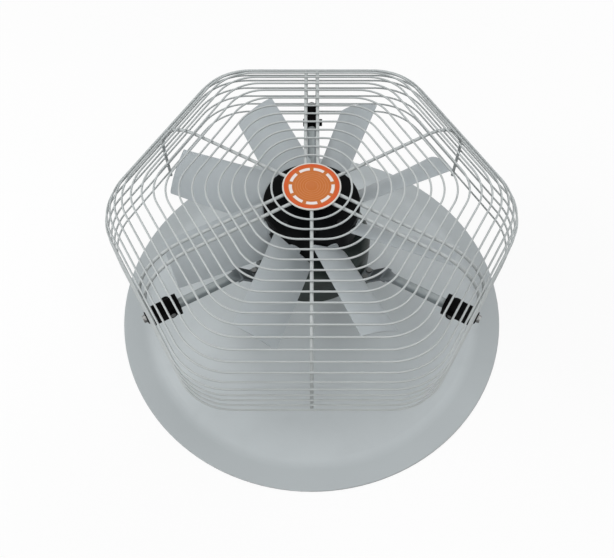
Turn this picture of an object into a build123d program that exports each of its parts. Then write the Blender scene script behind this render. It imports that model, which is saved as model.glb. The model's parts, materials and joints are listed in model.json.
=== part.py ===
from build123d import *
import os
from math import asin, cos, radians, sin, sqrt

# An axial ventilation fan in a hexagonal wire basket over a flared deflector.
# Millimetres. The origin is the middle of the brim's underside, +Z runs up the fan's axis
# to the flat face of the basket, and angles are counted from +X towards +Y.

# Layout round the axis
arm_angles = (90, 210, 330)
single_rib_angles = (30, 150, 270)

# Deflector: a flat brim, a small bend and a hollow flare up to a flat top
brim_radius = 380.0
brim_inner_radius = 337.0
brim_edge_round = 1.2
sheet = 3.0
brim_bend_radius = 60.0
flare_start_angle = 15.0
deflector_top_radius = 100.0
deflector_height = 193.0
cable_hole_radius = 16.0
cable_hole_offset = 42.0

# Backing plate and the bolts that hold the motor on the deflector
backing_radius = 90.0
backing_thickness = 8.0
seat_bolt_circle = 76.0
seat_bolt_count = 4
seat_thread = 8.0
seat_boss_radius = 9.0
mount_bolt_circle = 50.0
mount_bolt_count = 4
mount_hole_radius = 4.25

# Motor
motor_radius = 102.0
motor_wall = 6.0
motor_front_wall = 7.0
motor_length = 61.0
motor_edge_radius = 16.0
rear_cover_plate = 3.0
rear_cover_spigot = 4.0
rear_cover_inset = 0.5
cover_screw_radius = 1.5
cover_screw_length = 9.0
cover_screw_count = 6
neck_radius = 56.0
neck_wall = 8.0
neck_length = 35.0
shaft_hole_radius = 12.0
front_bearing_radius = 20.0
front_bearing_bore = 8.5
front_bearing_width = 12.0
bearing_lip = 3.0
bearing_shoulder = 4.0
rear_bearing_radius = 17.5
rear_bearing_bore = 7.5
rear_bearing_width = 11.0
bearing_hub_wall = 6.5
shield_groove = 0.6
stack_start = 20.0
stack_length = 26.0
stator_bore_radius = 50.8
slot_bottom_radius = 84.0
tooth_width = 15.0
tooth_tip_depth = 4.0
slot_mouth = 3.0
tooth_count = 12
coil_thickness = 6.2
coil_overhang = 6.6
coil_gap = 1.2
rotor_radius = 50.0
magnet_thickness = 3.5
magnet_count = 8
magnet_gap_angle = 4.0
rotor_hole_circle = 30.0
rotor_hole_radius = 6.0
rotor_hole_count = 6
shaft_core_radius = 11.0
shaft_front_radius = 8.45
shaft_shoulder = 0.5
key_width = 5.0
key_height = 5.0
key_length = 36.0

# Cable gland, from its thread in the rear cover down to its dome
gland_thread_radius = 10.0
gland_thread_length = 6.0
gland_flange_flats = 24.0
gland_flange_height = 7.0
gland_neck_radius = 10.5
gland_neck_height = 4.0
gland_nut_flats = 23.0
gland_nut_height = 9.0
gland_dome_height = 6.0
gland_dome_taper = 20.0
gland_bore_radius = 4.0

# Hub and blades
blade_count = 8
blade_rest_angle = 24.0
hub_gap = 2.0
hub_radius = 79.0
hub_half = 27.0
hub_plate = 6.0
hub_rim = 4.0
hub_boss_radius = 24.0
hub_socket_width = 36.0
hub_socket_start = 30.0
hub_bolt_circle = 62.0
hub_bolt_boss = 7.5
hub_face_round = 2.5
hub_recess = 3.0
shank_radius = 11.0
shank_start = 34.0
collar_radius = 15.0
collar_start = 44.0
collar_width = 6.0
blade_tip_radius = 246.0
blade_root_radius = 76.0
blade_hub_gap = 2.0
blade_tip_chord = 77.0
blade_root_chord = 89.5
blade_tip_pitch = 31.0
blade_root_pitch = 46.5
blade_twist_power = 0.8
blade_root_thickness = 6.0
blade_tip_thickness = 3.4
blade_edge = 1.4
blade_camber = 0.085
blade_lead_root = (33.7, 24.7)
blade_lead_tip = (30.4, 18.3)
blade_stations = 5
blade_trim = 2.0
leading_root_corner = 4.0
leading_tip_corner = 3.0
trailing_tip_corner = 5.0
trailing_root_corner = 12.0
palm_length = 53.0
palm_depth = 16.0
palm_tip = 1.5

# Guard: ring wires outside, rib wires inside them
ring_wire = 1.6
rib_wire = 2.75
weld_gap = 0.1
face_rise = 150.7
first_ring = 63.3
face_pitch = 18.0
face_rings = 9
wall_apothem = 309.5
shoulder_radius = 90.0
shoulder_first = 4.0
shoulder_pitch = 17.6
shoulder_rings = 8
last_ring_drop = 7.9
wall_pitch = 20.9
wall_rings = 4
face_corner = 67.0
shoulder_corner_step = 6.6
wall_corner = 100.0
rib_pair_spacing = 20.0
single_rib_start = 12.0
pair_rib_start = 18.0
rib_tail = 4.5

# Badge
badge_radius = 46.4
badge_plate_radius = 43.5
badge_plate_thickness = 1.0
badge_cap_thickness = 1.6
badge_rim = 2.4
badge_edge = 0.8
badge_recess = 0.6
badge_label_thickness = 0.4

# Arms: a round tube whose inner end is pressed flat, bent down and bolted on a motor lug
arm_rise = 41.0
tube_radius = 8.2
tube_wall = 2.0
strap_width = 27.0
foot_gap = 2.0
foot_length = 15.0
foot_bolt_inset = 7.5
foot_bolt_spacing = 14.5
slope_run = 22.0
press_start = 2.0
press_middle = 9.0
press_end = 19.0
press_middle_width = 11.4
press_middle_height = 5.4
lug_width = 25.0
lug_base = 2.0
lug_height = 10.0
lug_corner = 4.0

# Clamps that hold the tubes' outer ends to the guard
clamp_length = 52.2
clamp_nose = 17.2
clamp_bolt_inset = 17.0
clamp_flange = 8.0
clamp_flange_width = 28.0
clamp_flange_height = 40.0
clamp_flange_corner = 10.0
clamp_width = 25.0
clamp_height = 29.0
clamp_corner = 5.0
clamp_ring_gap = 0.3

# Metric fasteners: shank radius, width across the flats, head height
m5 = (2.5, 8.0, 3.5)
m6 = (3.0, 10.0, 4.0)
m8 = (4.0, 13.0, 5.3)
washer_thickness = 2.0
washer_radius = 10.5
thread_depth = 8.0
bolt_tail = 3.0
nut_height_factor = 1.1
head_dome = 1.11
head_taper = 12.0

# Clearances
fit = 0.05
running = 0.02
bolt_clearance = 0.25
seat_gap = 0.1
head_gap = 0.02


# Sizes that follow from the ones above
deflector_top = deflector_height
backing_top = deflector_top - sheet - seat_gap
backing_bottom = backing_top - backing_thickness
cover_bottom = deflector_top + seat_gap
motor_back = deflector_top + rear_cover_plate
cover_top = motor_back - seat_gap
cover_screw_circle = motor_radius - motor_wall / 2
motor_front = motor_back + motor_length
motor_inner_radius = motor_radius - motor_wall
motor_front_inside = motor_front - motor_front_wall
neck_top = motor_front + neck_length
stack_bottom = motor_back + stack_start
stack_top = stack_bottom + stack_length
rear_bearing_bottom = motor_back + rear_cover_spigot
rear_bearing_top = rear_bearing_bottom + rear_bearing_width
front_bearing_top = neck_top - bearing_lip
front_bearing_bottom = front_bearing_top - front_bearing_width
blade_axis = neck_top + hub_gap + hub_half
hub_back = blade_axis - hub_half
hub_front = blade_axis + hub_half
hub_bolt_angle = blade_rest_angle + 180 / blade_count
arm_height = motor_back + arm_rise
strap = 2 * tube_wall
lug_bottom = motor_back + lug_base
lug_top = lug_bottom + lug_height
foot_start = motor_radius + foot_gap
foot_end = foot_start + foot_length
foot_height = lug_top + seat_gap + strap / 2
foot_bolt_radius = foot_start + foot_bolt_inset
slope_end = foot_end + slope_run
tube_start = slope_end + press_end
face_height = arm_height + face_rise
last_ring_height = arm_height - last_ring_drop
guard_bolt_height = last_ring_height + wall_pitch / 2
rib_offset = ring_wire + rib_wire + weld_gap
rib_face_height = face_height - rib_offset
rib_wall_apothem = wall_apothem - rib_offset
rib_shoulder_radius = shoulder_radius - rib_offset
ring_outside = wall_apothem + ring_wire
clamp_end = wall_apothem - ring_wire - clamp_ring_gap
clamp_start = clamp_end - clamp_length
clamp_bolt_radius = clamp_start + clamp_bolt_inset
tube_end = clamp_end - clamp_nose
badge_bottom = rib_face_height + rib_wire + weld_gap
badge_cap_bottom = badge_bottom + badge_plate_thickness + seat_gap
badge_top = badge_cap_bottom + badge_cap_thickness


def turned(points):
    """Solid of revolution from a closed outline of (radius, height) points."""
    outline = Polyline(*[(r, 0, z) for r, z in points], close=True)
    return revolve(make_face(outline), Axis.Z, 360)


def post(radius, height):
    """Cylinder that stands on the origin."""
    return Cylinder(radius, height, align=(Align.CENTER, Align.CENTER, Align.MIN))


def drum(radius, low, high, bore=0.0):
    """Cylinder about the fan's axis between two heights, with an optional bore."""
    shape = Pos(0, 0, low) * post(radius, high - low)
    if bore:
        shape -= Pos(0, 0, low - 1) * post(bore, high - low + 2)
    return shape


def block(low, high):
    """Box between two corner points."""
    size = [b - a for a, b in zip(low, high)]
    middle = [(a + b) / 2 for a, b in zip(low, high)]
    return Pos(*middle) * Box(*size)


def rod(radius, start, end):
    """Cylinder between two points."""
    axis = Vector(*end) - Vector(*start)
    base = Plane(origin=start, z_dir=axis)
    return extrude(base * Circle(radius), axis.length)


def around(shape, angle):
    """A copy of the shape turned about the fan's axis."""
    return Rot(0, 0, angle) * shape


def on_circle(radius, count, first=0.0):
    """Places spaced evenly on a circle about the fan's axis."""
    for index in range(count):
        angle = radians(first + index * 360 / count)
        yield radius * cos(angle), radius * sin(angle)


def single(shape):
    """The one solid of a shape that should be in one piece."""
    solids = shape.solids()
    assert len(solids) == 1, f"{len(solids)} pieces where one was meant"
    return solids[0]


def group(shapes):
    """Several separate solids kept in one node."""
    return Compound(children=[solid for shape in shapes for solid in shape.solids()])


def at_arms(shape):
    return group(around(shape, angle) for angle in arm_angles)


def hex_bolt(size, seat, direction, length):
    """Hexagon bolt: head on the seat point, shank running from it along the direction."""
    shank, flats, head = size
    into = Plane(origin=seat, z_dir=direction)
    body = extrude(into * Circle(shank), length)
    prism = extrude(into * RegularPolygon(flats / 2, 6, major_radius=False), -head)
    dome = extrude(into * Circle(flats / 2 * head_dome), -head, taper=head_taper)
    return single(body + (prism & dome))


def hex_nut(size, seat, direction):
    """Hexagon nut standing on the seat point along the direction."""
    shank, flats, head = size
    height = head * nut_height_factor
    up = Plane(origin=seat, z_dir=direction)
    prism = extrude(up * RegularPolygon(flats / 2, 6, major_radius=False), height)
    hole = extrude(up * Circle(shank + fit), height)
    return single(prism - hole)


def swept(path, radius):
    """Round wire of the given radius along a path."""
    return sweep(Plane(origin=path @ 0, z_dir=path % 0) * Circle(radius), path=path)


# Deflector


def flare_arc():
    """Radius, centre and end angles of the flare's upper surface.

    The flare starts at the end of the brim's small bend and reaches the deflector's top edge.
    """
    start = radians(flare_start_angle)
    foot_r = brim_inner_radius - brim_bend_radius * sin(start)
    foot_z = sheet + brim_bend_radius * (1 - cos(start))
    run = foot_r - deflector_top_radius
    rise = deflector_top - foot_z
    middle = asin(rise / sqrt(run * run + rise * rise))
    end = 2 * middle - start
    radius = run / (sin(end) - sin(start))
    centre_r = foot_r + radius * sin(start)
    centre_z = foot_z + radius * cos(start)
    return radius, centre_r, centre_z, start, end


def deflector_cone():
    radius, centre_r, centre_z, start, end = flare_arc()

    def on_flare(angle, offset):
        reach = radius + offset
        return centre_r - reach * sin(angle), 0, centre_z - reach * cos(angle)

    def on_bend(angle, offset):
        reach = brim_bend_radius + offset
        height = sheet + brim_bend_radius - reach * cos(angle)
        return brim_inner_radius - reach * sin(angle), 0, height

    half = (start + end) / 2
    top_inside = on_flare(end, sheet)
    underside_top = deflector_top - sheet
    upper = [
        Line((0, 0, deflector_top), (deflector_top_radius, 0, deflector_top)),
        ThreePointArc(on_flare(end, 0), on_flare(half, 0), on_flare(start, 0)),
        ThreePointArc(on_bend(start, 0), on_bend(start / 2, 0), on_bend(0, 0)),
        Line((brim_inner_radius, 0, sheet), (brim_radius, 0, sheet)),
        Line((brim_radius, 0, sheet), (brim_radius, 0, 0)),
    ]
    lower = [
        Line((brim_radius, 0, 0), (brim_inner_radius, 0, 0)),
        ThreePointArc(on_bend(0, sheet), on_bend(start / 2, sheet), on_bend(start, sheet)),
        ThreePointArc(on_flare(start, sheet), on_flare(half, sheet), on_flare(end, sheet)),
        Line(top_inside, (top_inside[0], 0, underside_top)),
        Line((top_inside[0], 0, underside_top), (0, 0, underside_top)),
        Line((0, 0, underside_top), (0, 0, deflector_top)),
    ]
    shell = revolve(make_face(Wire(upper + lower)), Axis.Z, 360)
    rim = shell.edges().filter_by(GeomType.CIRCLE).group_by(SortBy.RADIUS)[-1]
    shell = fillet(rim, brim_edge_round)
    shell -= Pos(cable_hole_offset, 0, deflector_top) * Cylinder(cable_hole_radius, 4 * sheet)
    for x, y in on_circle(seat_bolt_circle, seat_bolt_count):
        shell -= Pos(x, y, deflector_top) * Cylinder(m8[0] + bolt_clearance, 4 * sheet)
    return single(shell)


def backing_plate():
    through = 4 * backing_thickness
    plate = drum(backing_radius, backing_bottom, backing_top)
    plate -= Pos(cable_hole_offset, 0, backing_top) * Cylinder(cable_hole_radius, through)
    for x, y in on_circle(seat_bolt_circle, seat_bolt_count):
        plate -= Pos(x, y, backing_top) * Cylinder(m8[0] + bolt_clearance, through)
    for x, y in on_circle(mount_bolt_circle, mount_bolt_count, 45):
        plate -= Pos(x, y, backing_top) * Cylinder(mount_hole_radius, through)
    return single(plate)


def seat_bolts():
    length = cover_bottom + seat_thread - backing_bottom
    return group(
        hex_bolt(m8, (x, y, backing_bottom - head_gap), (0, 0, 1), length)
        for x, y in on_circle(seat_bolt_circle, seat_bolt_count)
    )


# Motor


def housing_shell():
    """The turned housing with its bearing seat, neck and rounded front edge."""
    seat = front_bearing_radius + fit
    seat_bottom = front_bearing_bottom - bearing_shoulder
    body = turned(
        [
            (motor_inner_radius, motor_back),
            (motor_radius, motor_back),
            (motor_radius, motor_front),
            (neck_radius, motor_front),
            (neck_radius, neck_top),
            (shaft_hole_radius, neck_top),
            (shaft_hole_radius, front_bearing_top),
            (seat, front_bearing_top),
            (seat, seat_bottom),
            (neck_radius - neck_wall, seat_bottom),
            (neck_radius - neck_wall, motor_front_inside),
            (motor_inner_radius, motor_front_inside),
        ]
    )
    for height, radius in ((motor_front, motor_edge_radius), (neck_top, neck_wall / 2)):
        circles = body.edges().filter_by(GeomType.CIRCLE)
        level = circles.filter_by_position(Axis.Z, height - 0.1, height + 0.1)
        body = fillet(level.sort_by(SortBy.RADIUS)[-1], radius)
    return body


def arm_lug():
    """Lug on the housing's side, on the +X side, that an arm's foot is bolted down on."""
    half = lug_width / 2
    lug = block((motor_inner_radius, -half, lug_bottom), (foot_end - 1, half, lug_top))
    lug = fillet(lug.edges().filter_by(Axis.Z).sort_by(Axis.X)[-2:], lug_corner)
    return lug - drum(motor_inner_radius + motor_wall / 2, lug_bottom - 1, lug_top + 1)


def motor_housing():
    body = housing_shell()
    lug = arm_lug()
    for y in foot_bolt_sides():
        lug -= Pos(foot_bolt_radius, y, lug_top) * Cylinder(m6[0] + fit, 4 * lug_height)
    for angle in arm_angles:
        body += around(lug, angle)
    for x, y in cover_screw_places():
        hole = Cylinder(cover_screw_radius + fit, 2 * cover_screw_length)
        body -= Pos(x, y, motor_back) * hole
    return single(body)


def cover_screw_places():
    """The screws go into the housing's wall, clear of the arms and between the single ribs."""
    return list(on_circle(cover_screw_circle, cover_screw_count, 180 / cover_screw_count))


def rear_cover():
    plate = drum(motor_radius - rear_cover_inset, cover_bottom, cover_top)
    plate += drum(motor_inner_radius - seat_gap, cover_bottom, cover_top + rear_cover_spigot)
    plate += drum(rear_bearing_radius + bearing_hub_wall, cover_bottom, rear_bearing_top)
    plate -= drum(rear_bearing_radius + fit, rear_bearing_bottom, rear_bearing_top + 1)
    seats = list(on_circle(seat_bolt_circle, seat_bolt_count))
    for x, y in seats:
        plate += Pos(x, y, cover_bottom) * post(seat_boss_radius, seat_thread + bolt_tail)
    for x, y in seats:
        plate -= Pos(x, y, cover_bottom) * Cylinder(m8[0] + fit, 2 * (seat_thread + 1))
    gland_hole = Cylinder(gland_thread_radius + fit, 4 * rear_cover_spigot + 2 * rear_cover_plate)
    plate -= Pos(cable_hole_offset, 0, cover_bottom) * gland_hole
    for x, y in cover_screw_places():
        hole = Cylinder(cover_screw_radius + bolt_clearance, 4 * rear_cover_plate)
        plate -= Pos(x, y, cover_bottom) * hole
    return single(plate)


def cover_screws():
    """Headless screws that stand flush with the rear cover's underside."""
    screw = post(cover_screw_radius, cover_screw_length)
    return group(Pos(x, y, cover_bottom) * screw for x, y in cover_screw_places())


def stator_core():
    core = drum(motor_inner_radius - seat_gap, stack_bottom, stack_top, slot_bottom_radius)
    tip_radius = stator_bore_radius + tooth_tip_depth
    tips = drum(tip_radius, stack_bottom, stack_top, stator_bore_radius)
    mouth = block(
        (stator_bore_radius / 2, -slot_mouth / 2, stack_bottom - 1),
        (slot_bottom_radius - tooth_tip_depth, slot_mouth / 2, stack_top + 1),
    )
    tooth = block(
        (stator_bore_radius + tooth_tip_depth / 2, -tooth_width / 2, stack_bottom),
        (slot_bottom_radius + 1, tooth_width / 2, stack_top),
    )
    step = 360 / tooth_count
    for index in range(tooth_count):
        tips -= around(mouth, (index + 0.5) * step)
    for index in range(tooth_count):
        core += around(tooth, index * step)
    return single(core + tips)


def stator_windings():
    """One coil round each tooth."""
    inner = stator_bore_radius + tooth_tip_depth + coil_gap
    outer = slot_bottom_radius - coil_gap
    half = tooth_width / 2 + seat_gap
    coil = block(
        (inner, -half - coil_thickness, stack_bottom - coil_overhang),
        (outer, half + coil_thickness, stack_top + coil_overhang),
    )
    coil = fillet(coil.edges().filter_by(Axis.X), coil_thickness * 0.8)
    coil -= block(
        (inner - 1, -half, stack_bottom - seat_gap), (outer + 1, half, stack_top + seat_gap)
    )
    return group(around(coil, index * 360 / tooth_count) for index in range(tooth_count))


def bearing(radius, bore, low, width):
    """Sealed ball bearing as one ring with a shallow groove for its shield."""
    ring = drum(radius, low, low + width, bore)
    middle = (radius + bore) / 2
    band = (radius - bore) / 4
    top = low + width
    return single(ring - drum(middle + band, top - shield_groove, top + 1, middle - band))


def cable_gland():
    """Gland that screws up into the rear cover and hangs into the deflector's hollow."""

    def level(height):
        return Plane(origin=(cable_hole_offset, 0, height))

    hexagon = RegularPolygon(gland_flange_flats / 2, 6, major_radius=False)
    nut = RegularPolygon(gland_nut_flats / 2, 6, major_radius=False)
    flange_bottom = cover_bottom - gland_flange_height
    neck_bottom = flange_bottom - gland_neck_height
    nut_bottom = neck_bottom - gland_nut_height
    body = extrude(level(cover_bottom) * Circle(gland_thread_radius), gland_thread_length)
    body += extrude(level(cover_bottom) * hexagon, -gland_flange_height)
    body += extrude(level(flange_bottom) * Circle(gland_neck_radius), -gland_neck_height)
    body += extrude(level(neck_bottom) * nut, -gland_nut_height)
    dome = level(nut_bottom) * Circle(gland_thread_radius)
    body += extrude(dome, -gland_dome_height, taper=gland_dome_taper)
    body -= Pos(cable_hole_offset, 0, cover_bottom) * Cylinder(gland_bore_radius, 80)
    return single(body)


# Rotor


def motor_shaft():
    rear = rear_bearing_bore - running
    front = front_bearing_bore - running
    tip = hub_front - bearing_shoulder
    shaft = turned(
        [
            (0, rear_bearing_bottom + shaft_shoulder),
            (rear, rear_bearing_bottom + shaft_shoulder),
            (rear, rear_bearing_top + shaft_shoulder),
            (shaft_core_radius, rear_bearing_top + shaft_shoulder),
            (shaft_core_radius, front_bearing_bottom - shaft_shoulder),
            (front, front_bearing_bottom - shaft_shoulder),
            (front, front_bearing_top + shaft_shoulder),
            (shaft_front_radius, front_bearing_top + shaft_shoulder),
            (shaft_front_radius, tip),
            (0, tip),
        ]
    )
    low, high = key_span()
    half = key_width / 2
    shaft -= block((shaft_front_radius - key_height / 2, -half, low), (key_length, half, high))
    shaft -= Pos(0, 0, tip) * Cylinder(m8[0] + fit, 2 * shaft_bolt_length())
    return single(shaft)


def key_span():
    middle = blade_axis - hub_gap
    return middle - key_length / 2, middle + key_length / 2


def shaft_key():
    low, high = key_span()
    inner = shaft_front_radius - key_height / 2 + fit
    half = key_width / 2 - fit
    return single(block((inner, -half, low + fit), (inner + key_height, half, high - fit)))


def rotor_core():
    outer = rotor_radius - magnet_thickness
    body = drum(outer, stack_bottom, stack_top, shaft_core_radius + fit)
    for x, y in on_circle(rotor_hole_circle, rotor_hole_count):
        body -= Pos(x, y, stack_bottom) * Cylinder(rotor_hole_radius, 4 * stack_length)
    return single(body)


def rotor_magnets():
    """Arc magnets round the rotor core, with a small gap between neighbours."""
    inner = rotor_radius - magnet_thickness + fit
    ring = drum(rotor_radius, stack_bottom, stack_top, inner)
    half = rotor_radius * sin(radians(magnet_gap_angle / 2))
    cut = block((rotor_radius / 2, -half, stack_bottom - 1), (2 * rotor_radius, half, stack_top + 1))
    for index in range(magnet_count):
        ring -= around(cut, index * 360 / magnet_count)
    return group([ring])


# Hub and blades


def blade_angles():
    return [blade_rest_angle + index * 360 / blade_count for index in range(blade_count)]


def hub_blank(split, face):
    """Half hub before its sockets are cut: plate, rim, boss, socket blocks and bolt bosses."""
    inward = 1 if split > face else -1
    plate_inside = face + inward * hub_plate
    shell = turned(
        [
            (0, face),
            (hub_radius, face),
            (hub_radius, split),
            (hub_radius - hub_rim, split),
            (hub_radius - hub_rim, plate_inside),
            (hub_boss_radius, plate_inside),
            (hub_boss_radius, split),
            (0, split),
        ]
    )
    circles = shell.edges().filter_by(GeomType.CIRCLE)
    rims = circles.filter_by_position(Axis.Z, face - 0.1, face + 0.1)
    body = fillet(rims.sort_by(SortBy.RADIUS)[-1], hub_face_round)
    low = min(split, plate_inside)
    high = max(split, plate_inside)
    half = hub_socket_width / 2
    socket = block((hub_socket_start, -half, low), (hub_radius - hub_rim / 2, half, high))
    for angle in blade_angles():
        body += around(socket, angle)
    for x, y in on_circle(hub_bolt_circle, blade_count, hub_bolt_angle):
        body += Pos(x, y, low) * post(hub_bolt_boss, high - low)
    return body


def hub_cuts(body):
    """Blade sockets, shaft bore, keyway and bolt holes, the same in both halves."""
    socket_start = (hub_socket_start - 2, 0, blade_axis)
    shank = rod(shank_radius + fit, socket_start, (hub_radius + 5, 0, blade_axis))
    collar_low = (collar_start - fit, 0, blade_axis)
    collar_high = (collar_start + collar_width + fit, 0, blade_axis)
    collar = rod(collar_radius + fit, collar_low, collar_high)
    through = 4 * hub_half
    for angle in blade_angles():
        body -= around(shank, angle)
        body -= around(collar, angle)
    for x, y in on_circle(hub_bolt_circle, blade_count, hub_bolt_angle):
        body -= Pos(x, y, blade_axis) * Cylinder(m6[0] + bolt_clearance, through)
    body -= Pos(0, 0, blade_axis) * Cylinder(shaft_front_radius + fit, through)
    keyway = shaft_front_radius + key_height / 2 + 2 * fit
    low, high = key_span()
    body -= block((0, -key_width / 2, low), (keyway, key_width / 2, high))
    return body


def hub_front_half():
    body = hub_blank(blade_axis + seat_gap / 2, hub_front)
    body -= drum(hub_boss_radius - hub_recess, hub_front - hub_recess, hub_front + 1)
    return single(hub_cuts(body))


def hub_rear_half():
    return single(hub_cuts(hub_blank(blade_axis - seat_gap / 2, hub_back)))


def hub_bolts():
    length = 2 * hub_half + m6[2] * nut_height_factor + bolt_tail
    return group(
        hex_bolt(m6, (x, y, hub_front + head_gap), (0, 0, -1), length)
        for x, y in on_circle(hub_bolt_circle, blade_count, hub_bolt_angle)
    )


def hub_nuts():
    return group(
        hex_nut(m6, (x, y, hub_back - head_gap), (0, 0, -1))
        for x, y in on_circle(hub_bolt_circle, blade_count, hub_bolt_angle)
    )


def shaft_bolt_length():
    return 2 * thread_depth + bolt_tail


def shaft_bolt():
    seat = hub_front - hub_recess + washer_thickness
    return hex_bolt(m8, (0, 0, seat), (0, 0, -1), shaft_bolt_length())


def shaft_washer():
    seat = hub_front - hub_recess + head_gap / 2
    top = seat + washer_thickness - head_gap
    return single(drum(hub_boss_radius - hub_recess - 1, seat, top, m8[0] + fit))


def blade_station(radius):
    """Leading edge's place, pitch, chord and thickness of the blade at a radius."""
    share = (radius - blade_root_radius) / (blade_tip_radius - blade_root_radius)
    lead = [a + share * (b - a) for a, b in zip(blade_lead_root, blade_lead_tip)]
    inner = max(0.0, 1 - share)
    pitch = blade_tip_pitch + inner**blade_twist_power * (blade_root_pitch - blade_tip_pitch)
    chord = blade_root_chord + share * (blade_tip_chord - blade_root_chord)
    thickness = blade_root_thickness + share * (blade_tip_thickness - blade_root_thickness)
    return lead, pitch, chord, thickness


def blade_section(chord, thickness):
    """Thin cambered section between two arcs, with round edges, its leading edge at the origin."""
    edge = blade_edge / 2
    front = -edge
    back = -edge - chord
    middle = -edge - chord / 2
    peak = chord * blade_camber
    lower = ThreePointArc((back, -edge), (middle, peak - thickness / 2), (front, -edge))
    front_edge = ThreePointArc((front, -edge), (0, 0), (front, edge))
    upper = ThreePointArc((front, edge), (middle, peak + thickness / 2), (back, edge))
    back_edge = ThreePointArc((back, edge), (back - edge, 0), (back, -edge))
    return make_face(Wire([lower, front_edge, upper, back_edge]))


def backing_section(chord, thickness):
    """Area behind the middle of a blade section, where the palm may stand."""
    front = ThreePointArc((0, 0), (-chord / 2, chord * blade_camber), (-chord, 0))
    back = Polyline((-chord, 0), (-chord, -palm_depth), (0, -palm_depth), (0, 0))
    return make_face(Wire([front] + list(back.edges())))


def blade_loft(section):
    """Loft of a section through the blade's stations, from before the root to past the tip."""
    faces = []
    span = blade_tip_radius - blade_root_radius + 2 * blade_trim
    for index in range(blade_stations):
        radius = blade_root_radius - blade_trim + index / (blade_stations - 1) * span
        (side, rise), pitch, chord, thickness = blade_station(radius)
        turn = radians(pitch)
        origin = (radius, -side, blade_axis + rise)
        plane = Plane(origin=origin, x_dir=(0, -cos(turn), sin(turn)), z_dir=(-1, 0, 0))
        faces.append(plane * section(chord, thickness))
    return loft(faces)


def blade_outline():
    """Prism that trims the blade's ends and rounds its corners."""
    middle = radians((blade_root_pitch + blade_tip_pitch) / 2)
    ends = []
    for radius in (blade_root_radius, blade_tip_radius):
        (side, rise), pitch, chord, _ = blade_station(radius)
        leading = -(side * cos(middle) + rise * sin(middle))
        trailing = leading + (chord + blade_edge) * cos(radians(pitch) - middle)
        ends.append((radius, leading - blade_edge, trailing + blade_edge))
    (root, root_lead, root_trail), (tip, tip_lead, tip_trail) = ends
    corners = [
        ((root, root_lead), leading_root_corner),
        ((root, root_trail), trailing_root_corner),
        ((tip, tip_trail), trailing_tip_corner),
        ((tip, tip_lead), leading_tip_corner),
    ]
    sheet_face = make_face(Polyline(*[place for place, _ in corners], close=True))
    for place, radius in corners:
        corner = sheet_face.vertices().sort_by_distance((place[0], place[1], 0))[0]
        sheet_face = fillet(corner, radius)
    plane = Plane(origin=(0, 0, blade_axis), x_dir=(1, 0, 0), z_dir=(0, sin(middle), cos(middle)))
    return extrude(plane * sheet_face, 2 * hub_half, both=True)


def blade():
    """One blade on the +X side, with the shank and collar that the hub clamps."""
    leaf = blade_loft(blade_section) & blade_outline()
    leaf -= drum(hub_radius + blade_hub_gap, hub_back - hub_half, hub_front + hub_half)
    behind = blade_loft(backing_section)
    root_end = hub_radius + blade_hub_gap + 0.5
    shank = rod(shank_radius, (shank_start, 0, blade_axis), (root_end, 0, blade_axis))
    collar_end = (collar_start + collar_width, 0, blade_axis)
    collar = rod(collar_radius, (collar_start, 0, blade_axis), collar_end)
    palm_base = Plane(origin=(blade_root_radius, 0, blade_axis), z_dir=(1, 0, 0))
    palm_end = palm_base.offset(palm_length)
    palm = loft([palm_base * Circle(shank_radius), palm_end * Circle(palm_tip)])
    return single(leaf + (palm & behind) + shank + collar)


# Guard


def ring_loop(apothem, height, corner):
    """Closed wire bent to a hexagon with round corners, flats facing 30, 90, 150 degrees."""
    if corner >= apothem:
        path = Wire([CenterArc((0, 0, 0), apothem, 0, 360)])
    else:
        hexagon = RegularPolygon(apothem, 6, major_radius=False)
        path = fillet(hexagon.vertices(), corner).face().outer_wire()
    return single(Pos(0, 0, height) * swept(path, ring_wire))


def guard_rings_face():
    return group(
        ring_loop(first_ring + index * face_pitch, face_height, face_corner)
        for index in range(face_rings)
    )


def shoulder_ring(index):
    turn = (shoulder_first + index * shoulder_pitch) / shoulder_radius
    apothem = wall_apothem - shoulder_radius * (1 - sin(turn))
    height = face_height - shoulder_radius * (1 - cos(turn))
    corner = min(wall_corner, face_corner + index * shoulder_corner_step)
    return ring_loop(apothem, height, corner)


def guard_rings_shoulder(first, last):
    return group(shoulder_ring(index) for index in range(first, last))


def guard_rings_wall():
    return group(
        ring_loop(wall_apothem, last_ring_height + index * wall_pitch, wall_corner)
        for index in range(wall_rings)
    )


def rib(start):
    """Rib wire on the +X side: under the face rings, round the shoulder, down the wall."""
    path = FilletPolyline(
        (start, 0, rib_face_height),
        (rib_wall_apothem, 0, rib_face_height),
        (rib_wall_apothem, 0, last_ring_height - rib_tail),
        radius=rib_shoulder_radius,
    )
    return single(swept(path, rib_wire))


def rib_pair():
    wire = rib(pair_rib_start)
    return [Pos(0, side * rib_pair_spacing / 2, 0) * wire for side in (-1, 1)]


# Badge


def badge_cap():
    cap = drum(badge_radius, badge_cap_bottom, badge_top)
    edge = cap.edges().filter_by(GeomType.CIRCLE).sort_by(Axis.Z)[-1]
    cap = fillet(edge, badge_edge)
    return single(cap - drum(badge_radius - badge_rim, badge_top - badge_recess, badge_top + 1))


def badge_label():
    low = badge_top - badge_recess + head_gap / 2
    return single(drum(badge_radius - badge_rim - seat_gap, low, low + badge_label_thickness))


# Arms and clamps, all on the +X side before they are turned to their angle


def foot_bolt_sides():
    return (-foot_bolt_spacing / 2, foot_bolt_spacing / 2)


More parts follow.
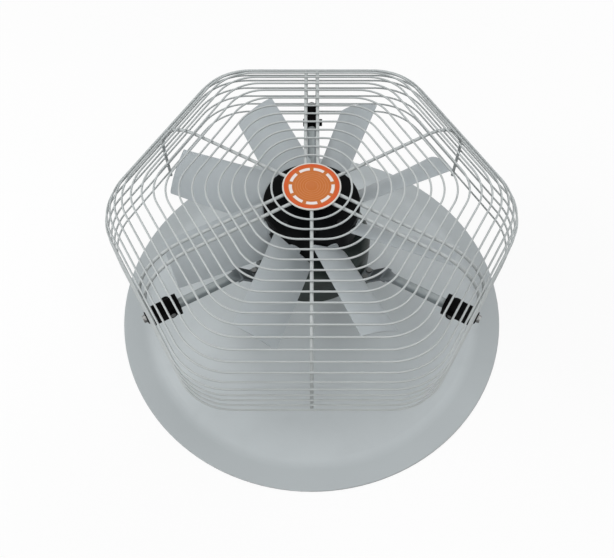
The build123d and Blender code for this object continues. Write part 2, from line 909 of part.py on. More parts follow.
def pressed_strap():
    """The arm's flat inner end: foot on the lug, slope up, and a level piece into the tube."""
    half = strap_width / 2
    path = [
        (foot_start, foot_height),
        (foot_end, foot_height),
        (slope_end, arm_height),
        (slope_end + press_middle, arm_height),
    ]
    body = None
    for (x1, z1), (x2, z2) in zip(path, path[1:]):
        run = Vector(x2 - x1, 0, z2 - z1)
        plane = Plane(origin=(x1, 0, z1), x_dir=(0, 1, 0), z_dir=run)
        plate = extrude(plane * Rectangle(strap_width, strap), run.length)
        body = plate if body is None else body + plate
    for x, z in path[1:-1]:
        body += rod(strap / 2, (x, -half, z), (x, half, z))
    return body


def pressed_transition():
    """From the flat strap to the round tube."""
    shapes = (
        (press_start, strap_width / 2, strap / 2 + fit),
        (press_middle, press_middle_width, press_middle_height),
        (press_end, tube_radius, tube_radius),
    )
    faces = []
    for along, across, up in shapes:
        plane = Plane(origin=(slope_end + along, 0, arm_height), x_dir=(0, 1, 0), z_dir=(1, 0, 0))
        outline = Circle(across) if across == up else Ellipse(across, up)
        faces.append(plane * outline)
    return loft(faces)


def arm():
    """Arm tube with its pressed inner end."""
    tube = rod(tube_radius, (tube_start, 0, arm_height), (tube_end, 0, arm_height))
    bore_end = (tube_end + 1, 0, arm_height)
    tube -= rod(tube_radius - tube_wall, (tube_start + tube_wall, 0, arm_height), bore_end)
    reach = 2 * tube_radius
    side = (clamp_bolt_radius, -reach, arm_height)
    other = (clamp_bolt_radius, reach, arm_height)
    tube -= rod(m6[0] + bolt_clearance, side, other)
    body = tube + pressed_transition() + pressed_strap()
    for y in foot_bolt_sides():
        hole = Cylinder(m6[0] + bolt_clearance, 4 * strap)
        body -= Pos(foot_bolt_radius, y, foot_height) * hole
    return single(body)


def foot_bolts():
    seat = foot_height + strap / 2 + head_gap
    bolts = [
        hex_bolt(m6, (foot_bolt_radius, y, seat), (0, 0, -1), strap + thread_depth)
        for y in foot_bolt_sides()
    ]
    return group(around(bolt, angle) for angle in arm_angles for bolt in bolts)


def clamp_body():
    half = clamp_flange_width / 2
    rise = clamp_flange_height / 2
    flange = block(
        (clamp_start, -half, arm_height - rise),
        (clamp_start + clamp_flange, half, arm_height + rise),
    )
    flange = fillet(flange.edges().filter_by(Axis.X), clamp_flange_corner)
    body = block(
        (clamp_start + 1, -clamp_width / 2, arm_height - clamp_height / 2),
        (clamp_end, clamp_width / 2, arm_height + clamp_height / 2),
    )
    body = fillet(body.edges().filter_by(Axis.X), clamp_corner)
    body += flange
    socket_end = (tube_end + fit, 0, arm_height)
    body -= rod(tube_radius + fit, (clamp_start - 1, 0, arm_height), socket_end)
    side = (clamp_bolt_radius, -clamp_width, arm_height)
    other = (clamp_bolt_radius, clamp_width, arm_height)
    body -= rod(m6[0] + bolt_clearance, side, other)
    nose_end = (clamp_end + 5, 0, guard_bolt_height)
    body -= rod(m8[0] + fit, (tube_end - 5, 0, guard_bolt_height), nose_end)
    groove = rib_wire + weld_gap
    low = arm_height - clamp_height
    high = arm_height + clamp_height
    for side in (-1, 1):
        y = side * rib_pair_spacing / 2
        body -= rod(groove, (rib_wall_apothem, y, low), (rib_wall_apothem, y, high))
        body -= block((rib_wall_apothem, y - groove, low), (clamp_end + 5, y + groove, high))
    return single(body)


def clamp_bolt():
    half = clamp_width / 2 + head_gap
    length = 2 * half + m6[2] * nut_height_factor + bolt_tail
    return hex_bolt(m6, (clamp_bolt_radius, half, arm_height), (0, -1, 0), length)


def clamp_nut():
    half = clamp_width / 2 + head_gap
    return hex_nut(m6, (clamp_bolt_radius, -half, arm_height), (0, -1, 0))


def guard_bolt():
    seat = ring_outside + washer_thickness + seat_gap
    return hex_bolt(m8, (seat, 0, guard_bolt_height), (-1, 0, 0), seat - tube_end - bolt_tail)


def guard_washer():
    low = ring_outside + fit
    start = (low, 0, guard_bolt_height)
    end = (low + washer_thickness, 0, guard_bolt_height)
    return single(rod(washer_radius, start, end) - rod(m8[0] + bolt_clearance, start, end))


def build_nodes():
    """Every node's name and shape."""
    yield "deflector_cone", deflector_cone()
    yield "backing_plate", backing_plate()
    yield "seat_bolts", seat_bolts()
    yield "motor_housing", motor_housing()
    yield "rear_cover", rear_cover()
    yield "cover_screws", cover_screws()
    yield "stator_core", stator_core()
    yield "stator_windings", stator_windings()
    front = (front_bearing_radius, front_bearing_bore, front_bearing_bottom, front_bearing_width)
    yield "front_bearing", bearing(*front)
    rear = (rear_bearing_radius, rear_bearing_bore, rear_bearing_bottom, rear_bearing_width)
    yield "rear_bearing", bearing(*rear)
    yield "cable_gland", cable_gland()
    yield "motor_shaft", motor_shaft()
    yield "shaft_key", shaft_key()
    yield "rotor_core", rotor_core()
    yield "rotor_magnets", rotor_magnets()
    yield "hub_front", hub_front_half()
    yield "hub_rear", hub_rear_half()
    yield "hub_bolts", hub_bolts()
    yield "hub_nuts", hub_nuts()
    yield "shaft_bolt", shaft_bolt()
    yield "shaft_washer", shaft_washer()
    one_blade = blade()
    for index, angle in enumerate(blade_angles(), start=1):
        yield f"blade_{index}", around(one_blade, angle)
    one_arm = arm()
    clamp = clamp_body()
    for index, angle in enumerate(arm_angles, start=1):
        yield f"arm_{index}", around(one_arm, angle)
        yield f"clamp_{index}", around(clamp, angle)
    yield "foot_bolts", foot_bolts()
    yield "clamp_bolts", at_arms(clamp_bolt())
    yield "clamp_nuts", at_arms(clamp_nut())
    yield "guard_bolts", at_arms(guard_bolt())
    yield "guard_washers", at_arms(guard_washer())
    half_way = shoulder_rings // 2
    yield "guard_rings_face", guard_rings_face()
    yield "guard_rings_upper_shoulder", guard_rings_shoulder(0, half_way)
    yield "guard_rings_lower_shoulder", guard_rings_shoulder(half_way, shoulder_rings)
    yield "guard_rings_wall", guard_rings_wall()
    one_rib = rib(single_rib_start)
    pair = rib_pair()
    for index, angle in enumerate(single_rib_angles, start=1):
        yield f"guard_rib_{index}", around(one_rib, angle)
    for index, angle in enumerate(arm_angles, start=1):
        yield f"guard_rib_pair_{index}", group(around(wire, angle) for wire in pair)
    plate_top = badge_bottom + badge_plate_thickness
    yield "badge_plate", single(drum(badge_plate_radius, badge_bottom, plate_top))
    yield "badge_cap", badge_cap()
    yield "badge_label", badge_label()


os.makedirs("parts", exist_ok=True)
for name, shape in build_nodes():
    export_step(shape, f"parts/{name}.step")
    print(name, len(shape.solids()), round(shape.volume / 1000, 2), "cm3")
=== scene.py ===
import json
from math import cos, degrees, pi, radians, sin
import random

import bmesh
import bpy
from mathutils import Euler, Matrix, Vector


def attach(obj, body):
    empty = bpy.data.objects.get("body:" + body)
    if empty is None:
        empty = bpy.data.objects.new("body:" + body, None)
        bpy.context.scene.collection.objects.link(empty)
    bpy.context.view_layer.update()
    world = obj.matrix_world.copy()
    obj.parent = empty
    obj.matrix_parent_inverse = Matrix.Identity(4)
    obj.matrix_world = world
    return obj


# Looks of an axial fan in a wire basket over a flared deflector.
# Metres. The origin is the middle of the brim's underside, and +Z runs up the fan's axis.
# Colours are linear. Angles are degrees, counted from +X towards +Y.

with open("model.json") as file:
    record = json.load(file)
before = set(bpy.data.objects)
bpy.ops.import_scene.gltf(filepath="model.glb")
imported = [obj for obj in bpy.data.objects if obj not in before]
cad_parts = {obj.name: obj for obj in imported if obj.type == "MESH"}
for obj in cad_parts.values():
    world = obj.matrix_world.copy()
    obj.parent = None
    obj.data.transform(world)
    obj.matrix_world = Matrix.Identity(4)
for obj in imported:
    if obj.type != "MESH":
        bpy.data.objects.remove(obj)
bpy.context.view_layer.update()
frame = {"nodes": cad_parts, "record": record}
nodes = frame["nodes"]
scene = bpy.context.scene
random.seed(11)

mm = 0.001
white = (1.0, 1.0, 1.0, 1.0)
arm_angles = (90, 210, 330)
single_rib_angles = (30, 150, 270)


# Node trees


def scaled(colour, factor):
    """A darker or lighter shade of a colour."""
    return tuple(min(1.0, channel * factor) for channel in colour)


class Graph:
    """A node tree, with short calls that add and link nodes."""

    def __init__(self, tree):
        self.tree = tree

    def add(self, kind, **settings):
        node = self.tree.nodes.new(kind)
        for key, value in settings.items():
            setattr(node, key, value)
        return node

    def feed(self, socket, value):
        """Links an output to a socket, or sets the socket to a plain value."""
        if isinstance(value, bpy.types.NodeSocket):
            self.tree.links.new(value, socket)
        else:
            socket.default_value = value

    def maths(self, operation, first, second=0.0):
        node = self.add("ShaderNodeMath", operation=operation)
        self.feed(node.inputs[0], first)
        self.feed(node.inputs[1], second)
        return node.outputs[0]

    def plus(self, first, second):
        return self.maths("ADD", first, second)

    def times(self, first, second):
        return self.maths("MULTIPLY", first, second)

    def seen(self):
        """One for rays from the camera, a reflection or a see-through surface, else zero."""
        rays = self.add("ShaderNodeLightPath").outputs
        direct = self.maths("MAXIMUM", rays["Is Camera Ray"], rays["Is Glossy Ray"])
        return self.maths("MAXIMUM", direct, rays["Is Transmission Ray"])

    def show_blend(self, output, share, first, second):
        """Sends a blend of two shaders to an output node."""
        both = self.add("ShaderNodeMixShader")
        self.feed(both.inputs[0], share)
        self.feed(both.inputs[1], first)
        self.feed(both.inputs[2], second)
        self.feed(self.tree.nodes[output].inputs["Surface"], both.outputs[0])


class Shader(Graph):
    """A material on a Principled shader, with its textures in object coordinates."""

    def __init__(self, name, **constants):
        self.material = bpy.data.materials.new(name)
        self.material.use_nodes = True
        super().__init__(self.material.node_tree)
        self.surface = self.tree.nodes["Principled BSDF"]
        self.place = self.add("ShaderNodeTexCoord").outputs["Object"]
        for socket, value in constants.items():
            self.surface.inputs[socket.replace("_", " ")].default_value = value

    def noise(self, scale, detail=2.0, roughness=0.5):
        node = self.add("ShaderNodeTexNoise")
        self.feed(node.inputs["Vector"], self.place)
        self.feed(node.inputs["Scale"], scale)
        self.feed(node.inputs["Detail"], detail)
        self.feed(node.inputs["Roughness"], roughness)
        return node.outputs["Fac"]

    def cells(self, scale, output="Distance"):
        node = self.add("ShaderNodeTexVoronoi")
        self.feed(node.inputs["Vector"], self.place)
        self.feed(node.inputs["Scale"], scale)
        return node.outputs[output]

    def span(self, value, low, high, start=0.0, end=1.0):
        """Maps value from start..end to low..high."""
        node = self.add("ShaderNodeMapRange")
        self.feed(node.inputs["Value"], value)
        self.feed(node.inputs["From Min"], start)
        self.feed(node.inputs["From Max"], end)
        self.feed(node.inputs["To Min"], low)
        self.feed(node.inputs["To Max"], high)
        return node.outputs["Result"]

    def spread(self, noise, low, high):
        """Maps the values that a noise mostly has to low..high."""
        return self.span(noise, low, high, 0.3, 0.7)

    def specks(self, scale, amount, start, end):
        """Fine specks of at most the amount, where a noise passes from start to end."""
        return self.span(self.noise(scale, detail=1.0), 0, amount, start, end)

    def band(self, value, low, high, soft):
        """One between low and high, else zero, with soft edges."""
        rise = self.span(value, 0, 1, low - soft, low + soft)
        fall = self.span(value, 1, 0, high - soft, high + soft)
        return self.times(rise, fall)

    def mix(self, share, first, second):
        """Colour between two others."""
        node = self.add("ShaderNodeMix", data_type="RGBA")
        for socket, colour in ((node.inputs[6], first), (node.inputs[7], second)):
            self.feed(socket, (*colour, 1.0) if isinstance(colour, tuple) else colour)
        self.feed(node.inputs[0], share)
        return node.outputs[2]

    def shades(self, share, colour, low, high):
        """Colour between two shades of one colour."""
        return self.mix(share, scaled(colour, low), scaled(colour, high))

    def split(self, vector):
        """The x, y and z of a vector."""
        node = self.add("ShaderNodeSeparateXYZ")
        self.feed(node.inputs[0], vector)
        return node.outputs

    def radius(self):
        """Distance from the fan's axis."""
        x, y, _ = self.split(self.place)
        return self.maths("SQRT", self.plus(self.times(x, x), self.times(y, y)))

    def facing_up(self):
        """How far the surface faces up, from -1 to 1."""
        normal = self.add("ShaderNodeNewGeometry").outputs["Normal"]
        return self.split(normal)[2]

    def colour(self, value):
        self.feed(self.surface.inputs["Base Color"], value)

    def rough(self, value):
        self.feed(self.surface.inputs["Roughness"], value)

    def bump(self, height, distance):
        """Relief on the surface, as deep as the distance in metres for a height of one."""
        node = self.add("ShaderNodeBump")
        self.feed(node.inputs["Height"], height)
        self.feed(node.inputs["Distance"], distance)
        self.feed(node.inputs["Strength"], 1.0)
        self.feed(self.surface.inputs["Normal"], node.outputs[0])


# Materials

# Distances from the axis between which a look changes, and how far that border wavers
brim_start = (325 * mm, 343 * mm)
brim_wear = (377.8 * mm, 379.2 * mm)
# Painted shade at the blade roots fades out between these distances.
root_shade_reach = (95 * mm, 170 * mm)
pressed_zone = (150 * mm, 172 * mm)
waver = 4 * mm

spangle_size = 12 * mm
zinc_grain = 500.0
zinc_relief = 0.04 * mm
sheet_thickness = 0.5 * mm


def coated_metal(name, colour, grain, gloss, painted_underside_shade=None):
    """Powder coat: faint clouds of tone, orange peel, dust and, if asked, painted shade on the
    undersides.
    """
    shader = Shader(name, Specular_IOR_Level=0.4)
    clouds = shader.noise(7.0, detail=3.0)
    dust = shader.specks(900.0, amount=0.25, start=0.66, end=0.74)
    tone = shader.shades(shader.spread(clouds, 0, 1), colour, 0.95, 1.05)
    tone = shader.mix(dust, tone, scaled(colour, 0.8))
    if painted_underside_shade:
        # Painted shade: faces turned down are darkened, as if in shadow.
        below = shader.span(shader.facing_up(), 1, 0, -0.45, 0.45)
        tone = shader.mix(below, tone, scaled(colour, painted_underside_shade))
    shader.colour(tone)
    shader.rough(shader.spread(clouds, gloss - 0.05, gloss + 0.07))
    shader.bump(shader.noise(grain, roughness=0.6), 0.08 * mm)
    return shader


def deflector_paint():
    """Light grey paint on the spun sheet, darker on the brim and worn at its edge."""
    colour = (0.470, 0.508, 0.522)
    bare = (0.33, 0.34, 0.34)
    shader = Shader("deflector_paint", Specular_IOR_Level=0.35)
    clouds = shader.noise(5.0, detail=4.0, roughness=0.55)
    patches = shader.noise(28.0, detail=3.0, roughness=0.6)
    tatters = shader.noise(160.0, detail=4.0, roughness=0.7)
    dust = shader.specks(1100.0, amount=0.35, start=0.68, end=0.76)
    tone = shader.shades(shader.spread(clouds, 0, 1), colour, 0.965, 1.03)
    tone = shader.mix(shader.span(patches, 0, 0.16, 0.5, 0.75), tone, scaled(colour, 0.86))
    tone = shader.mix(dust, tone, scaled(colour, 0.72))
    reach = shader.radius()
    wavy = shader.plus(reach, shader.span(clouds, -waver, waver))
    tone = shader.mix(shader.span(wavy, 0, 1, *brim_start), tone, scaled(colour, 0.875))
    ragged = shader.plus(reach, shader.span(tatters, -3.5 * mm, 1.5 * mm))
    tone = shader.mix(shader.span(ragged, 0, 0.75, *brim_wear), tone, bare)
    shader.colour(tone)
    shader.rough(shader.span(patches, 0.46, 0.60, 0.25, 0.75))
    peel = shader.plus(shader.noise(420.0), shader.span(clouds, 0, 6))
    shader.bump(peel, 0.07 * mm)
    return shader


def blade_grey():
    """Moulded blade: smooth grey with faint flow marks, fine dust and painted shade at its root.
    """
    colour = (0.414, 0.452, 0.471)
    shader = Shader("blade_grey", Specular_IOR_Level=0.35)
    flow = shader.noise(16.0, detail=3.0, roughness=0.6)
    dust = shader.specks(1500.0, amount=0.3, start=0.64, end=0.74)
    tone = shader.shades(shader.spread(flow, 0, 1), colour, 0.96, 1.035)
    tone = shader.mix(dust, tone, scaled(colour, 0.8))
    # Painted shade: the blade darkens towards the hub, where shade falls.
    near_root = shader.span(shader.radius(), 0.5, 0.0, *root_shade_reach)
    root_shade = shader.times(near_root, shader.spread(flow, 0.7, 1.0))
    shader.colour(shader.mix(root_shade, tone, scaled(colour, 0.8)))
    shader.rough(shader.spread(flow, 0.44, 0.56))
    shader.bump(shader.noise(650.0, roughness=0.6), 0.05 * mm)
    return shader


def galvanised():
    """Zinc coat with crystal patches that differ a little in tone and gloss."""
    colour = (0.52, 0.54, 0.55)
    gloss = 0.42
    shader = Shader("galvanised", Metallic=0.8)
    crystal = shader.split(shader.cells(1 / spangle_size, "Color"))[0]
    clouds = shader.noise(30.0, detail=4.0, roughness=0.6)
    tone = shader.shades(crystal, colour, 0.84, 1.14)
    tone = shader.mix(shader.span(clouds, 0, 0.5, 0.45, 0.75), tone, scaled(colour, 0.7))
    shader.colour(tone)
    shader.rough(shader.span(crystal, gloss - 0.07, gloss + 0.09))
    shader.bump(shader.noise(zinc_grain, detail=3.0, roughness=0.6), zinc_relief)
    return shader


def dull_zinc_tube_painted_light():
    """Zinc coat gone dull on the arm tubes, with painted light on top, painted shade below, and
    darker on the pressed inner end.
    """
    shaded_underside = (0.165, 0.192, 0.200)
    lit_top = (0.360, 0.395, 0.400)
    pressed_shaded_underside = (0.120, 0.136, 0.146)
    pressed_lit_top = (0.165, 0.186, 0.196)
    bare = (0.22, 0.23, 0.23)
    shader = Shader("arm_grey", Metallic=0.15, Specular_IOR_Level=0.3)
    streaks = shader.noise(55.0, detail=4.0, roughness=0.6)
    crystal = shader.split(shader.cells(140.0, "Color"))[0]
    # Painted light and shade: the top is lit and the underside shaded in the colour itself.
    facing = shader.span(shader.facing_up(), 0, 1, 0.52, 0.97)
    share = shader.plus(facing, shader.spread(streaks, -0.12, 0.12))
    tone = shader.mix(share, shaded_underside, lit_top)
    wavy = shader.plus(shader.radius(), shader.span(streaks, -waver, waver))
    pressed = shader.span(wavy, 1, 0, *pressed_zone)
    tone = shader.mix(pressed, tone, shader.mix(share, pressed_shaded_underside, pressed_lit_top))
    shader.colour(shader.mix(shader.span(crystal, 0, 0.14), tone, bare))
    shader.rough(shader.spread(streaks, 0.52, 0.66))
    shader.bump(shader.noise(zinc_grain, detail=3.0, roughness=0.6), zinc_relief)
    return shader


def machined(name, colour, gloss, metal=1.0, painted_side_shade=None):
    """Turned or plated steel with fine marks, dark patches and, if asked, painted shade on the
    sides.
    """
    shader = Shader(name, Metallic=metal)
    marks = shader.noise(240.0, detail=4.0, roughness=0.65)
    clouds = shader.noise(60.0, detail=3.0, roughness=0.6)
    tone = shader.shades(shader.span(clouds, 0, 1, 0.35, 0.7), colour, 1.05, 0.65)
    if painted_side_shade:
        # Painted shade: faces that don't face up are darkened, as if out of the light.
        side = shader.span(shader.facing_up(), 1, 0, 0.45, 0.95)
        tone = shader.mix(side, tone, scaled(colour, painted_side_shade))
    shader.colour(tone)
    shader.rough(shader.spread(marks, gloss - 0.07, gloss + 0.12))
    shader.bump(marks, 0.04 * mm)
    return shader


def moulded(name, colour, gloss, grain, relief, shine, top_dust_and_sheen=None):
    """Black plastic, rubber or cast paint with rubbed patches and, if asked, dust with a painted
    sheen on faces turned up.
    """
    shader = Shader(name, Specular_IOR_Level=shine)
    clouds = shader.noise(38.0, detail=4.0, roughness=0.6)
    dust = shader.specks(1300.0, amount=0.5, start=0.68, end=0.75)
    tone = shader.mix(shader.span(clouds, 0, 1, 0.35, 0.75), colour, scaled(colour, 1.9))
    tone = shader.mix(dust, tone, scaled(colour, 3.0))
    if top_dust_and_sheen:
        # Partly settled dust, partly painted light: faces turned up are lighter, as if they
        # caught the light.
        top = shader.span(shader.facing_up(), 0, 1, 0.35, 0.95)
        layer = shader.times(top, shader.span(clouds, 0.75, 1.0, 0.35, 0.65))
        tone = shader.mix(layer, tone, top_dust_and_sheen)
    shader.colour(tone)
    shader.rough(shader.spread(clouds, gloss - 0.06, gloss + 0.1))
    shader.bump(shader.noise(grain, detail=3.0, roughness=0.6), relief)
    return shader


def badge_print():
    """Printed label: an orange disc with a deeper border, pale dashes and fine rings inside."""
    inner = (0.450, 0.126, 0.021)
    border = (0.520, 0.076, 0.009)
    pale = (0.700, 0.655, 0.640)
    ring_tone = (0.60, 0.30, 0.14)
    faded = (0.50, 0.20, 0.11)
    border_start = (37.2 * mm, 37.8 * mm)
    print_soft = 0.25 * mm
    dash_zone = (31 * mm, 36 * mm)
    dash_count = 9
    dash_phase = 4.75
    dash_share = (0.13, 0.87)
    ring_zone = (7 * mm, 27 * mm)
    ring_pitch = 4 * mm
    ring_share = (0.42, 0.62)
    shader = Shader("badge_orange", Specular_IOR_Level=0.4)
    reach = shader.radius()
    tone = shader.mix(shader.span(reach, 0, 1, *border_start), inner, border)
    x, y, _ = shader.split(shader.place)
    turns = shader.times(shader.maths("ARCTAN2", y, x), dash_count / (2 * pi))
    step = shader.maths("FRACT", shader.plus(turns, dash_phase))
    dash_ring = shader.band(reach, *dash_zone, print_soft)
    dashes = shader.times(dash_ring, shader.band(step, *dash_share, 0.012))
    tone = shader.mix(dashes, tone, pale)
    ripple = shader.maths("FRACT", shader.times(reach, 1 / ring_pitch))
    middle = shader.band(reach, *ring_zone, print_soft)
    fine_rings = shader.times(shader.band(ripple, *ring_share, 0.06), middle)
    tone = shader.mix(shader.times(fine_rings, 0.35), tone, ring_tone)
    wear = shader.noise(130.0, detail=4.0, roughness=0.6)
    shader.colour(shader.mix(shader.span(wear, 0, 0.18, 0.5, 0.75), tone, faded))
    shader.rough(shader.spread(shader.noise(90.0, detail=3.0), 0.32, 0.46))
    shader.bump(shader.noise(800.0), 0.02 * mm)
    return shader


def copper():
    """Wound copper wire: a fine cell pattern for the wires under their lacquer."""
    shader = Shader("copper_wire", Metallic=1.0)
    wires = shader.cells(900.0)
    tone = shader.mix(shader.span(wires, 0, 1, 0.0, 0.6), (0.42, 0.16, 0.07), (0.60, 0.27, 0.13))
    shader.colour(tone)
    shader.rough(shader.span(wires, 0.28, 0.5, 0.0, 0.6))
    shader.bump(wires, 0.2 * mm)
    return shader


def laminated():
    """Stacked iron sheets, seen as fine lines across the stack."""
    colour = (0.30, 0.30, 0.31)
    shader = Shader("core_iron", Metallic=1.0)
    height = shader.split(shader.place)[2]
    layer = shader.maths("FRACT", shader.times(height, 1 / sheet_thickness))
    shader.colour(shader.shades(shader.span(layer, 0, 1, 0.0, 0.2), colour, 0.55, 1.0))
    shader.rough(shader.span(shader.noise(120.0, detail=3.0), 0.4, 0.6))
    shader.bump(layer, 0.06 * mm)
    return shader


slot_looks = {
    "deflector_paint": deflector_paint(),
    "galvanised": galvanised(),
    # The bolts carry painted shade on their sides.
    "zinc_steel": machined(
        "zinc_steel", (0.30, 0.305, 0.30), gloss=0.42, metal=0.6, painted_side_shade=0.42,
    ),
    "dark_steel": moulded(
        "dark_steel", (0.006, 0.006, 0.0065), gloss=0.40, grain=600.0, relief=0.04 * mm,
        shine=0.12,
    ),
    "bright_steel": machined("bright_steel", (0.62, 0.62, 0.61), gloss=0.25),
    # The motor's faces turned up carry dust and a painted sheen.
    "motor_black": moulded(
        "motor_black", (0.009, 0.0145, 0.013), gloss=0.36, grain=420.0, relief=0.10 * mm,
        shine=0.30, top_dust_and_sheen=(0.046, 0.060, 0.055),
    ),
    "core_iron": laminated(),
    "copper_wire": copper(),
    "magnet_grey": machined("magnet_grey", (0.24, 0.24, 0.25), gloss=0.5),
    "hub_black": moulded(
        "hub_black", (0.0030, 0.0033, 0.0036), gloss=0.34, grain=700.0, relief=0.06 * mm,
        shine=0.04,
    ),
    "blade_grey": blade_grey(),
    "arm_grey": dull_zinc_tube_painted_light(),
    "clamp_black": moulded(
        "clamp_black", (0.0018, 0.0018, 0.0020), gloss=0.48, grain=900.0, relief=0.06 * mm,
        shine=0.02,
    ),
    # The wires carry painted shade on their undersides.
    "wire_paint": coated_metal(
        "wire_paint", (0.424, 0.451, 0.452), grain=900.0, gloss=0.42, painted_underside_shade=0.62,
    ),
    "badge_rim": coated_metal("badge_rim", (0.600, 0.585, 0.540), grain=700.0, gloss=0.40),
    "badge_orange": badge_print(),
}


def dress(obj, slot):
    """Gives an object its slot's finish and nothing else."""
    obj.data.materials.clear()
    obj.data.materials.append(slot_looks[slot].material)


for row in frame["record"]["subparts"]:
    dress(nodes[row["node"]], row["material_slot"])


# Shading and edge rounding of the CAD nodes

node_crease = 35
bevel_crease = 40
edge_widths = (
    (0.60 * mm, ("clamp_1", "clamp_2", "clamp_3", "motor_housing")),
    (0.50 * mm, ("hub_front", "hub_rear", "backing_plate")),
    (0.40 * mm, ("rear_cover",)),
    (0.30 * mm, ("guard_bolts", "guard_washers", "seat_bolts", "cable_gland")),
    (0.30 * mm, ("arm_1", "arm_2", "arm_3")),
    (0.25 * mm, ("clamp_bolts", "clamp_nuts", "foot_bolts", "hub_bolts", "hub_nuts")),
)


def smooth(obj, crease):
    """Smooth shading, with edges sharper than the crease angle left crisp."""
    mesh = obj.data
    mesh.polygons.foreach_set("use_smooth", [True] * len(mesh.polygons))
    mesh.set_sharp_from_angle(angle=radians(crease))
    mesh.update()


def round_edges(obj, width):
    """Small bevel on the sharp edges, shaded as part of the faces beside it."""
    bevel = obj.modifiers.new("edge_round", "BEVEL")
    bevel.width = width
    bevel.segments = 2
    bevel.limit_method = "ANGLE"
    bevel.angle_limit = radians(bevel_crease)
    bevel.use_clamp_overlap = True
    bevel.harden_normals = True


for node in nodes.values():
    smooth(node, node_crease)
for width, names in edge_widths:
    for name in names:
        round_edges(nodes[name], width)


# Pieces beside the CAD nodes


def mesh_object(name, mesh):
    """Turns a bmesh into an object of the scene."""
    data = bpy.data.meshes.new(name)
    mesh.to_mesh(data)
    mesh.free()
    obj = bpy.data.objects.new(name, data)
    scene.collection.objects.link(obj)
    return obj


# Weld spots where ring wires cross rib wires. Sizes are the basket's, to the wires' middles

ring_wire_radius = 1.6 * mm
face_height = 387.7 * mm
first_ring = 63.3 * mm
face_pitch = 18.0 * mm
face_rings = 9
wall_apothem = 309.5 * mm
lowest_ring = 229.1 * mm
wall_pitch = 20.9 * mm
wall_rings = 4
pair_half = 10.0 * mm

# The shoulder's first ring and pitch are lengths along its arc
shoulder_radius = 90.0 * mm
shoulder_first = 4.0 * mm
shoulder_pitch = 17.6 * mm
shoulder_rings = 8

# A spot's half sizes, the range of their random shares, and how far it sits below the
# middle of the ring wire
weld_half_sizes = (2.4 * mm, 2.5 * mm, 1.1 * mm)
weld_shares = (0.9, 1.1)
weld_depth = 0.95 * ring_wire_radius
weld_crease = 180


def ring_places():
    """Each ring's distance out, height and facing (90 up, 0 outwards) at a side's middle."""
    for index in range(face_rings):
        yield first_ring + face_pitch * index, face_height, 90.0
    for index in range(shoulder_rings):
        turn = (shoulder_first + shoulder_pitch * index) / shoulder_radius
        out = wall_apothem - shoulder_radius * (1 - sin(turn))
        height = face_height - shoulder_radius * (1 - cos(turn))
        yield out, height, 90.0 - degrees(turn)
    for index in range(wall_rings):
        yield wall_apothem, lowest_ring + wall_pitch * index, 0.0


def weld_spots():
    """One low, slightly uneven spot between each ring wire and rib wire that cross."""
    mesh = bmesh.new()
    ribs = [(angle, 0.0) for angle in single_rib_angles]
    ribs += [(angle, side * pair_half) for angle in arm_angles for side in (-1, 1)]
    for angle, aside in ribs:
        turn = Matrix.Rotation(radians(angle), 4, "Z")
        for out, height, facing in ring_places():
            # The first ring is round, so a rib beside the middle crosses it nearer in
            if out <= first_ring:
                out = (out * out - aside * aside) ** 0.5
            normal = Vector((cos(radians(facing)), 0, sin(radians(facing))))
            place = Vector((out, aside, height)) - normal * weld_depth
            size = [half * random.uniform(*weld_shares) for half in weld_half_sizes]
            lean = Matrix.Rotation(radians(90 - facing), 4, "Y")
            matrix = turn @ Matrix.Translation(place) @ lean @ Matrix.Diagonal((*size, 1))
            bmesh.ops.create_icosphere(mesh, subdivisions=2, radius=1.0, matrix=matrix)
    obj = mesh_object("guard_welds", mesh)
    dress(obj, "wire_paint")
    smooth(obj, weld_crease)
    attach(obj, "frame")


weld_spots()


# Raised rims round the cross bolts on both sides of each clamp, in the clamps' sizes

clamp_half_width = 12.5 * mm
clamp_bolt_out = 272.4 * mm
arm_height = 237.0 * mm
rim_inside = 6.0 * mm
rim_sink = 0.5 * mm
rim_round = 0.5 * mm
rim_steps = 40
rim_crease = 50
# Side of the clamp, outside radius and height: the bolt's head first, then its nut
rim_sizes = ((1, 7.4 * mm, 4.2 * mm), (-1, 6.8 * mm, 7.8 * mm))


def lathe(mesh, profile, matrix, steps):
    """Turns a closed profile of (radius, height) round the z axis and puts it in place."""
    rings = []
    for index in range(steps):
        angle = 2 * pi * index / steps
        rings.append([
            mesh.verts.new(matrix @ Vector((radius * cos(angle), radius * sin(angle), height)))
            for radius, height in profile
        ])
    for index, ring in enumerate(rings):
        following = rings[(index + 1) % steps]
        for point in range(len(profile)):
            after = (point + 1) % len(profile)
            mesh.faces.new((ring[point], following[point], following[after], ring[after]))


def rim_profile(outside, tall):
    """Section of a rim with a softly rounded top."""
    return (
        (rim_inside, -rim_sink),
        (rim_inside, tall - rim_round / 2),
        ((rim_inside + outside) / 2, tall),
        (outside - rim_round / 2, tall - rim_round / 4),
        (outside, tall - rim_round),
        (outside, -rim_sink),
    )


def clamp_rims():
    """Short moulded rims: low round the bolt's head, tall round the nut and the bolt's end."""
    mesh = bmesh.new()
    for angle in arm_angles:
        turn = Matrix.Rotation(radians(angle), 4, "Z")
        for side, outside, tall in rim_sizes:
            stand = Matrix.Rotation(radians(-90 * side), 4, "X")
            place = Matrix.Translation((clamp_bolt_out, side * clamp_half_width, arm_height))
            lathe(mesh, rim_profile(outside, tall), turn @ place @ stand, rim_steps)
    bmesh.ops.recalc_face_normals(mesh, faces=mesh.faces)
    obj = mesh_object("clamp_rims", mesh)
    dress(obj, "clamp_black")
    smooth(obj, rim_crease)
    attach(obj, "frame")


clamp_rims()


# Floor, light and camera

# The floor lies a little lower than the brim, so that the two faces stay apart
floor_half = 30.0
floor_drop = 0.6 * mm
floor_grey = (0.86, 0.86, 0.86, 1.0)
# Share of plain white in the floor near the fan and far off, and the distances between
near_glow = 0.88
far_glow = 1.0
glow_change = (1.0, 3.0)
world_level = 0.23

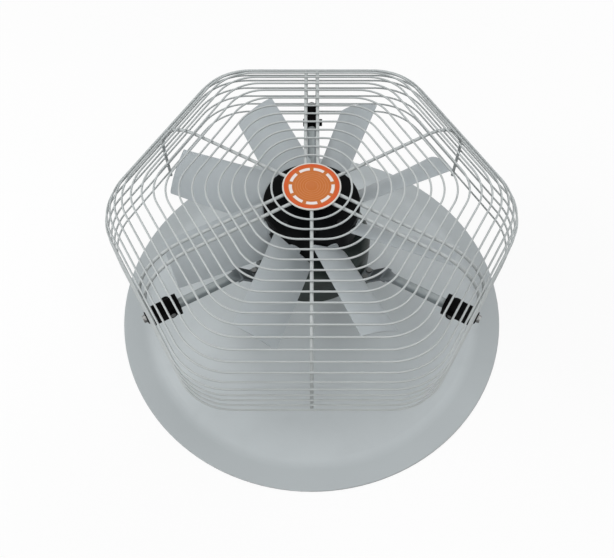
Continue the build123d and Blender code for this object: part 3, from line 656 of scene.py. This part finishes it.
light_aim = Vector((0, 0, 0.15))
light_distance = 3.0
light_size = 1.6
# Azimuth, elevation and watts
soft_boxes = {
    "key_light": (180, 38, 48),
    "top_light": (300, 65, 39),
    "back_light": (45, 38, 26),
}

# The photograph's width, its focal length and how far its middle is off, in its pixels
photo_width = 614.0
photo_focal = 700.0
middle_right = -4.7
middle_up = 1.0
sensor_width = 36.0
camera_place = (0, -0.6786, 1.2632)
camera_tilt = 30.15


def floor_look():
    """Pale floor that takes a soft shadow, with more plain white in it far off."""
    shader = Shader("floor_white", Roughness=0.9, Specular_IOR_Level=0.0)
    shader.colour(floor_grey)
    glow = shader.add("ShaderNodeEmission")
    glow.inputs["Color"].default_value = white
    glow.inputs["Strength"].default_value = 1.0
    share = shader.span(shader.radius(), near_glow, far_glow, *glow_change)
    share = shader.times(shader.seen(), share)
    shader.show_blend("Material Output", share, shader.surface.outputs[0], glow.outputs[0])
    return shader.material


def make_floor():
    mesh = bmesh.new()
    bmesh.ops.create_grid(mesh, x_segments=1, y_segments=1, size=floor_half)
    floor = mesh_object("floor", mesh)
    floor.location = (0, 0, -floor_drop)
    floor.data.materials.append(floor_look())


def make_world():
    """White where it is seen, and a plain level of light on the object."""
    world = bpy.data.worlds.new("studio")
    scene.world = world
    world.use_nodes = True
    graph = Graph(world.node_tree)
    dim = graph.tree.nodes["Background"]
    dim.inputs["Color"].default_value = white
    dim.inputs["Strength"].default_value = world_level
    bright = graph.add("ShaderNodeBackground")
    bright.inputs["Color"].default_value = white
    graph.show_blend("World Output", graph.seen(), dim.outputs[0], bright.outputs[0])


def soft_box(name, azimuth, elevation, power):
    """Square area light that looks at the middle of the fan."""
    data = bpy.data.lights.new(name, "AREA")
    data.shape = "SQUARE"
    data.size = light_size
    data.energy = power
    light = bpy.data.objects.new(name, data)
    away = Vector((
        cos(radians(azimuth)) * cos(radians(elevation)),
        sin(radians(azimuth)) * cos(radians(elevation)),
        sin(radians(elevation)),
    ))
    light.location = away * light_distance + light_aim
    light.rotation_euler = away.to_track_quat("Z", "Y").to_euler()
    scene.collection.objects.link(light)


def make_camera():
    """Camera at the photograph's place, with its field of view."""
    data = bpy.data.cameras.new("camera")
    data.sensor_width = sensor_width
    data.lens = sensor_width * photo_focal / photo_width
    data.shift_x = middle_right / photo_width
    data.shift_y = middle_up / photo_width
    data.clip_start = 0.05
    data.clip_end = 100.0
    camera = bpy.data.objects.new("camera", data)
    camera.location = camera_place
    camera.rotation_euler = Euler((radians(camera_tilt), 0, 0))
    scene.collection.objects.link(camera)
    scene.camera = camera


make_floor()
make_world()
for name, (azimuth, elevation, power) in soft_boxes.items():
    soft_box(name, azimuth, elevation, power)
make_camera()
scene.view_settings.view_transform = "Standard"
